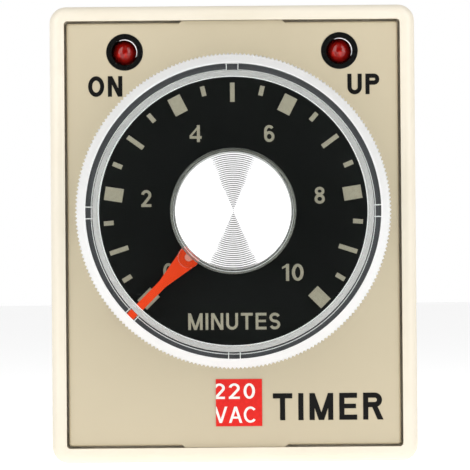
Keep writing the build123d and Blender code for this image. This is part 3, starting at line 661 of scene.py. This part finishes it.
# --- knob ----------------------------------------------------------------------------------------------
knurl_teeth, knurl_root, bevel = 240, 0.22, 1.0
plate_thickness, skirt_inner, hub_outer, hub_wall, boss_radius = 1.6, 15.15, 6.65, 0.55, 4.4
boss_set_back, shaft_hole = 1.2, 3.05
band_inner, band_gap, corner_chamfer = 15.8, 0.01, 0.68
pointer_turn = 225.0
notch_width, notch_depth, notch_inset, notch_turns = 1.35, 1.8, 0.55, (0, 90, 180, 270, pointer_turn)
# the widths of the painted highlight strips in the notches and of the painted highlight rings
notch_highlight, highlight_line_width = 0.09, 0.08
stake_reach, stake_radius, stake_pin = 6.9, 1.2, 0.42
hub_back_y = pointer_low.y - 0.9


def make_knob():
    """The clear knob: a cup with a knurled skirt, five notches in its back edge and a hub round the boss."""
    front, back = knob_front_y, knob_back_y
    plate_back = front + plate_thickness
    root = knob_radius - knurl_root
    profile = rounded([
        (0, front + cap_thickness, 0),
        (cap_radius + 0.05, front + cap_thickness, 0),
        (cap_radius + 0.05, front, 0.04),
        (band_inner, front, 0),
        (band_inner, back, 0),
        (skirt_inner, back, 0.1),
        (skirt_inner, plate_back + corner_chamfer, 0.25),
        (skirt_inner - corner_chamfer, plate_back, 0.25),
        (hub_outer, plate_back, 0.15),
        (hub_outer, hub_back_y, 0.1),
        (hub_outer - hub_wall, hub_back_y, 0.1),
        (hub_outer - hub_wall, plate_back, 0.1),
        (boss_radius, plate_back, 0.1),
        (boss_radius, back - boss_set_back, 0),
        (shaft_hole, back - boss_set_back, 0),
        (shaft_hole, plate_back - 1.0, 0),
        (0, plate_back - 1.0, 0),
    ])

    def knurl(r, step):
        return min(r, root) if step % 2 else r

    band_profile = rounded([
        (band_inner + band_gap, back, 0),
        (band_inner + band_gap, front, 0),
        (knob_radius - bevel, front, 0.12),
        (root, front + bevel - knurl_root, 0),
        (knob_radius, front + bevel, 0),
        (knob_radius, back, 0),
    ])
    notch_middle = ((skirt_inner + knob_radius) / 2 - notch_inset, back, 0)
    cutter = joined([bar(knob_radius - skirt_inner, notch_width, 2 * notch_depth, notch_middle, radians(turn))
                     for turn in notch_turns], "notches")
    steps = 2 * knurl_teeth
    body = carved(turned("dial_knob_body", profile, steps), cutter, "DIFFERENCE")
    band = carved(turned("knurl_band", band_profile, steps, knurl, closed=True), cutter, "DIFFERENCE")
    smooth(body)
    knob = new_piece("clear_knob", body, acrylic, "dial")
    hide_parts("dial_knob")
    smooth(band)
    new_piece("knurl_band", band, knurl_acrylic, "dial")


def make_knob_highlights():
    """The knob's painted highlights: pale strips along the notches' side walls, and thin pale rings where
    three of the knob's edges catch the light.
    """
    # painted highlights: a pale strip along each side wall of every notch
    edges = []
    for turn in notch_turns:
        for side in (-1, 1):
            across = side * (notch_width - notch_highlight) / 2
            middle = ((skirt_inner + band_inner) / 2, knob_back_y - notch_depth / 2, across)
            edges.append(bar(band_inner - skirt_inner, notch_highlight, notch_depth - 0.02, middle, radians(turn)))
    new_piece("notch_highlights", joined(edges, "notch_highlights"), painted_highlight_white, "dial")
    # painted highlights: thin pale rings at the plate's inner back corner, the skirt's back edge and the
    # hub's back edge
    lines = []
    for r, y in ((skirt_inner - corner_chamfer - highlight_line_width, knob_front_y + plate_thickness),
                 (skirt_inner + 0.24, knob_back_y), (hub_outer - 0.2, hub_back_y)):
        section = ring_section(r, r + highlight_line_width, y + 0.01, y + 0.04)
        lines.append(turned("line", section, ring_steps, closed=True))
    new_piece("edge_highlights", joined(lines, "edge_highlights"), painted_highlight_white, "dial")


def make_stake():
    """The pointer's stake, which holds it to the hub, a painted highlight ring round its foot and its melted
    head.
    """
    turn = radians(pointer_turn)
    centre = (stake_reach * cos(turn), dial_z + stake_reach * sin(turn))
    pointer_front = pointer_low.y
    stake = rounded([(0, hub_back_y + 0.02, 0), (stake_radius, hub_back_y + 0.02, 0.05),
                     (stake_radius, pointer_front - 0.07, 0.05), (0, pointer_front - 0.07, 0)])
    stake_mesh = turned("pointer_stake", stake, 48, centre=centre)
    smooth(stake_mesh)
    new_piece("pointer_stake", stake_mesh, acrylic, "dial")
    # a painted highlight: a thin pale ring round the stake's foot, standing in for the light its edge catches
    foot = ring_section(stake_radius - 0.07, stake_radius, pointer_front - 0.05, pointer_front - 0.03)
    ring_mesh = turned("stake_highlight_ring", foot, 48, centre=centre, closed=True)
    new_piece("stake_highlight_ring", ring_mesh, frosted_acrylic_and_highlight, "dial")
    # the stake's end is melted over behind the pointer, which turns it cloudy
    pin_end = pointer_high.y + 0.3
    head = rounded([(0, pointer_front + 0.01, 0), (stake_pin, pointer_front + 0.01, 0),
                    (stake_pin, pin_end - 0.28, 0), (stake_pin + 0.3, pin_end - 0.28, 0.05),
                    (stake_pin + 0.3, pin_end, 0.2), (0, pin_end, 0)])
    head_mesh = turned("stake_head", head, 36, centre=centre)
    smooth(head_mesh)
    new_piece("stake_head", head_mesh, frosted_acrylic_and_highlight, "dial")


ring_pitch, ring_depth = 0.22, 0.048


def make_cap():
    """The aluminium cap, with the rings that the facing cut left and a small chamfer."""
    front, chamfer = knob_front_y, 0.14
    profile = [(0, front)]
    r = ring_pitch / 2
    while r < cap_radius - chamfer - ring_pitch * 0.75:
        profile += [(r, front + ring_depth), (r + ring_pitch / 2, front)]
        r += ring_pitch
    profile += [(r, front + ring_depth), (cap_radius - chamfer, front), (cap_radius, front + chamfer),
                (cap_radius, front + cap_thickness), (0, front + cap_thickness)]
    body = turned("knob_cap_body", profile, 180)
    smooth(body, 20)
    cap = new_piece("turned_cap", body, aluminium, "dial")
    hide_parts("knob_cap")


# --- case ----------------------------------------------------------------------------------------------
case_wall, panel_gap = 1.6, 0.25
step_depth, step_height = 1.5, 0.6  # below the panel's face, and along the depth


def make_case_step():
    """The narrow moulded step that closes the gap round the panel."""
    wall_x, wall_z = case_high.x - case_wall, case_high.z - case_wall
    rings = []
    shape = bmesh.new()
    for half_x, half_z in ((wall_x, wall_z), (wall_x - panel_gap, wall_z - panel_gap)):
        for y in (panel_y + step_depth, panel_y + step_depth + step_height):
            rings.append([shape.verts.new((x * mm, y * mm, z * mm)) for x, z in (
                (half_x, half_z), (-half_x, half_z), (-half_x, -half_z), (half_x, -half_z))])
    outer_front, outer_back, inner_front, inner_back = rings
    for one, two in ((outer_front, outer_back), (outer_back, inner_back), (inner_back, inner_front),
                     (inner_front, outer_front)):
        for corner in range(4):
            nxt = (corner + 1) % 4
            shape.faces.new((one[corner], two[corner], two[nxt], one[nxt]))
    bmesh.ops.recalc_face_normals(shape, faces=shape.faces)
    mesh_data = bpy.data.meshes.new("case_step")
    shape.to_mesh(mesh_data)
    shape.free()
    new_piece("case_step", mesh_data, cream_abs, "housing")


# --- lamps ---------------------------------------------------------------------------------------------
leg_spots, leg_drop = (-0.54, 0.07), 0.17  # each leg's x, and how far both sit below the lamp's middle
leg_half_height, leg_half_width = 0.26, 0.17
leg_cup, leg_post = (0.85, 1.2, 1.0), (1.2, None, 0.55)  # start and end behind the dome's tip, and size
# the painted highlight crescent's radius, and how far its second edge is shifted down and to the left
glint_radius, glint_shift = 1.38, 0.07


def make_lamps():
    """The two legs inside each lamp, which end in pale cups behind the dome, and a painted highlight: a pale
    crescent at the upper right of the lamp's collar.
    """
    for words in ("on", "up"):
        low, high = box_mm("lamp_" + words)
        x, z = (low.x + high.x) / 2, (low.z + high.z) / 2
        legs = []
        for leg_x in leg_spots:
            for start, end, size in (leg_cup, leg_post):
                wide, tall = leg_half_width * size, leg_half_height * size
                left = [Vector((-wide, -tall)), Vector((-wide * 0.45, tall * 0.7))]
                right = [Vector((wide, -tall)), Vector((wide * 0.45, tall * 0.7))]
                y_end = low.y + end if end else high.y - 0.2
                place = shifted(x + leg_x, z - leg_drop)
                legs.append(strip_mesh((left, right, False), place, low.y + start, y_end))
        legs_mesh = joined(legs, "lamp_legs_" + words)
        new_piece("lamp_legs_" + words, legs_mesh, lamp_reflector_and_glint, "housing")
        # a painted highlight: a pale crescent at the upper right, standing in for the light the lamp's edge
        # catches in its collar
        crescent = [bow(-shift, -shift, glint_radius, glint_radius, -22, 112)
                    for shift in (0, glint_shift)]
        glint = strip_mesh((*crescent, False), shifted(x, z), panel_y - 0.12, panel_y - 0.02)
        new_piece("lamp_glint_" + words, glint, lamp_reflector_and_glint, "housing")


# --- side labels ---------------------------------------------------------------------------------------
print_margin, rule_count, rule_pitch = 1.0, 4, 0.22  # the pitch is a share of the label's half height
pin_diagram, pin_circle, pin_spot = 0.42, 0.68, 0.25  # a share of the half height, of that circle, and mm


def make_side_prints():
    """Plain rules and a pin diagram on the two side labels. They carry no words."""
    for name, side in (("side_label_left", -1), ("side_label_right", 1)):
        low, high = box_mm(name)
        face = max(abs(low.x), abs(high.x))
        wide, tall = (high.y - low.y) / 2 - print_margin, (high.z - low.z) / 2 - print_margin
        corners = [(-wide, -tall), (-wide, tall), (wide, tall), (wide, -tall)]
        rules = [line_strip([(-wide, v), (wide, v)], 0.12)
                 for v in (tall - row * tall * rule_pitch for row in range(1, rule_count + 1))]
        circle, centre = tall * pin_diagram, -tall / 2
        strips = [line_strip(corners, 0.2, closed=True), *rules, ring_strip(0, centre, circle, circle, 0.15)]
        for pin in range(8):
            turn = radians(22.5 + 45 * pin)
            pin_u, pin_v = circle * pin_circle * cos(turn), centre + circle * pin_circle * sin(turn)
            strips.append(ring_strip(pin_u, pin_v, pin_spot, pin_spot, 0.2))
        place = shifted(side * (low.y + high.y) / 2, (low.z + high.z) / 2)
        solids = [strip_mesh(strip, place, -face - 0.02, -face + 0.01) for strip in strips]
        lines = joined(solids, "side_print")
        lines.transform(Matrix.Rotation(side * pi / 2, 4, "Z"))
        new_piece(name.replace("label", "print"), lines, black_ink, "housing")


make_case_step()
make_side_prints()
make_lamps()
make_scale_marks()
make_legends()
make_label_legend()
make_knob()
make_knob_highlights()
make_stake()
make_cap()


# --- stage, light and camera ---------------------------------------------------------------------------
def make_stage():
    """A plain white floor. It ends a little ahead of the timer, so the clear knob doesn't mirror it."""
    floor_mesh = bpy.data.meshes.new("floor")
    half, ahead = 3.0, 0.4
    corners = [(-half, -ahead, 0), (half, -ahead, 0), (half, half, 0), (-half, half, 0)]
    floor_mesh.from_pydata(corners, [], [(0, 1, 2, 3)])
    floor = bpy.data.objects.new("floor", floor_mesh)
    floor.location.z = case_low.z * mm
    bpy.context.scene.collection.objects.link(floor)
    paper = start_material("white_paper", base_color=linear("f8f8f8"), roughness=0.9,
                           emission_color=linear("ffffff"), emission_strength=0.55)
    floor_mesh.materials.append(paper[0])


# degrees from straight ahead of the timer, and how bright the tent is there
tent_light = ((22, 0.012), (36, 0.23), (75, 0.24), (105, 0.4), (180, 0.85))
box_side, box_ahead, box_depth, box_height, box_power = 0.3, 0.47, 0.5, 0.78, 2.95  # metres and watts


def make_light():
    """A white tent that is dark only where the camera looks in, and a tall soft box on each side."""
    world = bpy.data.worlds.new("tent")
    bpy.context.scene.world = world
    world.use_nodes = True
    tree = world.node_tree
    tree.nodes.clear()
    way = add(tree, "TexCoord").outputs["Generated"]
    ahead = add(tree, "VectorMath", {0: way, 1: (0, -1, 0)}, operation="DOT_PRODUCT")
    share = add(tree, "MapRange", {"Value": ahead.outputs["Value"], "From Min": -1.0, "From Max": 1.0})
    tent = add(tree, "ValToRGB", {"Fac": share.outputs["Result"]})
    stops = tent.color_ramp.elements
    while len(stops) < len(tent_light):
        stops.new(0.5)
    for stop, (angle, level_there) in zip(stops, reversed(tent_light)):
        stop.position, stop.color = (cos(radians(angle)) + 1) / 2, (level_there, level_there, level_there, 1)
    seen = add(tree, "LightPath").outputs["Is Camera Ray"]
    shown = add(tree, "MixRGB", {"Fac": seen, "Color1": tent.outputs["Color"], "Color2": (1, 1, 1, 1)})
    light = add(tree, "Background", {"Color": shown.outputs["Color"], "Strength": 1.0})
    add(tree, "OutputWorld", {"Surface": light.outputs["Background"]})
    for name, side in (("soft_box_left", -1), ("soft_box_right", 1)):
        panel = bpy.data.lights.new(name, "AREA")
        panel.shape, panel.size, panel.size_y, panel.energy = "RECTANGLE", box_height, box_depth, box_power
        lamp = bpy.data.objects.new(name, panel)
        lamp.location = (side * box_side, -box_ahead, box_height / 2 - 0.02)
        lamp.rotation_euler = (0, side * pi / 2, 0)
        lamp.visible_camera = False
        bpy.context.scene.collection.objects.link(lamp)


camera_distance, view_width = 375.0, 51.394  # from the rim, and how much of the rim's plane the view takes in
camera_drop, aim_x, aim_z, roll = 5.6, 0.164, -0.164, 0.475  # millimetres and degrees


def make_camera():
    """The camera looks straight at the face from a little below its middle."""
    data = bpy.data.cameras.new("camera")
    data.sensor_width = 36.0
    data.lens = data.sensor_width * camera_distance / view_width
    data.clip_start, data.clip_end = 0.01, 20.0
    camera = bpy.data.objects.new("camera", data)
    spot = Vector((aim_x, rim_y - camera_distance, -camera_drop))
    aim = Vector((aim_x, rim_y, aim_z))
    camera.location = spot * mm
    facing = (aim - spot).to_track_quat("-Z", "Y").to_matrix().to_4x4()
    turn = facing @ Matrix.Rotation(-radians(roll), 4, "Z")
    camera.rotation_euler = turn.to_euler()
    bpy.context.scene.collection.objects.link(camera)
    bpy.context.scene.camera = camera


make_stage()
make_light()
make_camera()
bpy.context.scene.view_settings.view_transform = "Standard"
